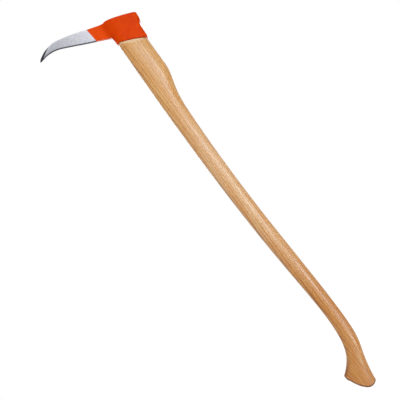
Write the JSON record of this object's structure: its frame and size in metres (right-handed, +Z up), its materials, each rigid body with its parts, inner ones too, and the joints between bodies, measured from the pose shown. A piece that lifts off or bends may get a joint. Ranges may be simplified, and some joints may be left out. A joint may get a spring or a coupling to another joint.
{
  "type": "pickaroon",
  "caption": "Forged steel hook with a curved pointed beak, wedged by its eye on a long curved hardwood axe-style handle with a flared foot.",
  "frame": {"origin": "middle of the lower grip, on the handle's centre line, half way through its thickness", "axes": "+Z runs up the straight upper shaft to the head, the beak points along -X, and +Y is across the thickness; the tool is mirrored in the plane y = 0"},
  "size_m": [0.2184, 0.034, 0.9445],
  "materials": {
    "head": "orange paint over the eye and the beak's root, bare ground steel beyond",
    "handle": "clear varnished straight-grained ash or hickory",
    "wooden_wedge": "plain hardwood",
    "steel_wedge": "plain steel"
  },
  "bodies": {
    "root": {"head": "head", "handle": "handle", "wooden_wedge": "wooden_wedge", "steel_wedge_front": "steel_wedge", "steel_wedge_rear": "steel_wedge"}
  },
  "joints": []
}
